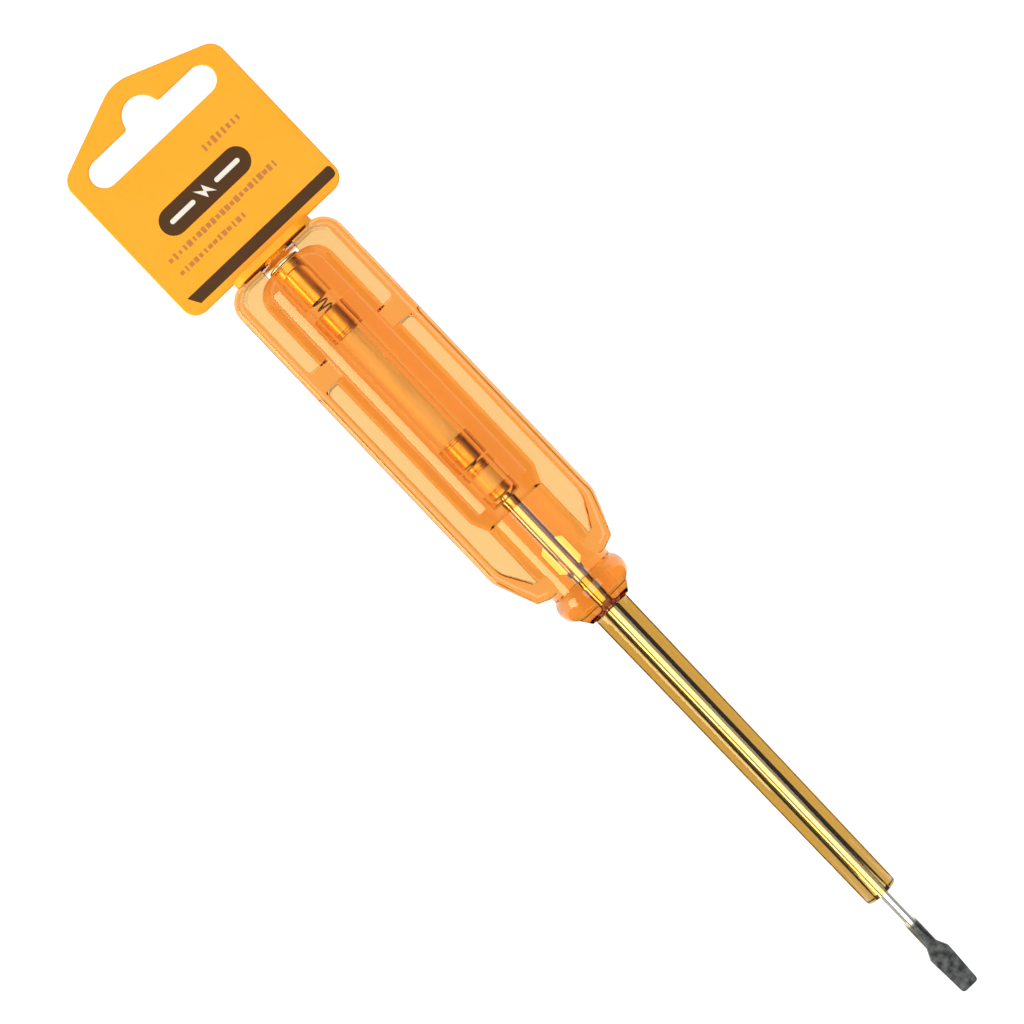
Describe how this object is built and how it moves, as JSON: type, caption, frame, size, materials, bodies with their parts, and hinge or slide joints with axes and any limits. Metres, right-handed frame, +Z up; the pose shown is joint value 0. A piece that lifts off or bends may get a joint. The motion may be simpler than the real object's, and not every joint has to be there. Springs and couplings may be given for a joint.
{
  "type": "neon voltage tester screwdriver",
  "caption": "Voltage tester screwdriver: clear amber handle with finger guard, neon lamp inside, touch contact in the butt, sleeved flat blade and a hang tag.",
  "frame": {"origin": "on the ground under the middle of the whole length, with the tool resting on a flat of its handle", "axes": "+X along the tool from the hang tag to the blade's tip, +Y across the tool, +Z up, square to the flat that it rests on"},
  "size_m": [0.2412, 0.0406, 0.0164],
  "materials": {
    "amber_handle_plastic": "clear amber injection moulding, glossy",
    "amber_sleeve_plastic": "clear pale amber extruded tube",
    "blade_steel": "bright nickel-plated steel with a dark ground tip",
    "yellow_tag_plastic": "opaque golden yellow moulding, satin, with a printed black strip",
    "contact_brass": "turned brass",
    "washer_fibre": "dark fibre washer",
    "spring_steel": "drawn spring wire",
    "lamp_glass": "clear lamp glass",
    "cap_brass": "pressed brass cap",
    "cap_cement": "capping cement",
    "solder": "tin solder",
    "lead_wire": "copper-clad nickel-iron wire",
    "electrode_nickel": "nickel rod",
    "resistor_carbon": "ceramic rod with a carbon film and a lacquer coat"
  },
  "bodies": {
    "grip": {"handle": "amber_handle_plastic", "blade_sleeve": "amber_sleeve_plastic", "blade": "blade_steel"},
    "tag": {"hang_tag": "yellow_tag_plastic"},
    "contact_carriage": {"contact_washer": "washer_fibre"},
    "touch_contact": {"contact_button": "contact_brass", "contact_spring": "spring_steel"},
    "lamp_cartridge": {"lamp_glass": "lamp_glass", "lamp_cap_rear": "cap_brass", "lamp_cap_front": "cap_brass", "lamp_cement_rear": "cap_cement", "lamp_cement_front": "cap_cement", "lamp_solder_rear": "solder", "lamp_solder_front": "solder", "lamp_lead_rear": "lead_wire", "lamp_lead_front": "lead_wire", "lamp_electrode_rear": "electrode_nickel", "lamp_electrode_front": "electrode_nickel", "resistor_core": "resistor_carbon", "resistor_cap_rear": "cap_brass", "resistor_cap_front": "cap_brass"}
  },
  "joints": [
    {"name": "tag_pull", "type": "slide", "parent": "grip", "child": "tag", "axis": [-1, 0, 0], "range_m": [0, 0.03]},
    {"name": "contact_travel", "type": "slide", "parent": "grip", "child": "contact_carriage", "axis": [-1, 0, 0], "range_m": [0, 0.0024]},
    {"name": "contact_turn", "type": "hinge", "parent": "contact_carriage", "child": "touch_contact", "pos_m": [-0.0725, 0, 0.0082], "axis": [-1, 0, 0], "range_deg": [0, 1728]},
    {"name": "cartridge_float", "type": "slide", "parent": "grip", "child": "lamp_cartridge", "axis": [-1, 0, 0], "range_m": [0, 0.001], "stiffness_N_per_m": 1360, "springref_m": -0.0015, "deforming": ["contact_spring"]}
  ],
  "couplings": [
    {"joint": "contact_turn", "follows": "contact_travel", "rad_per_m": 12566}
  ]
}
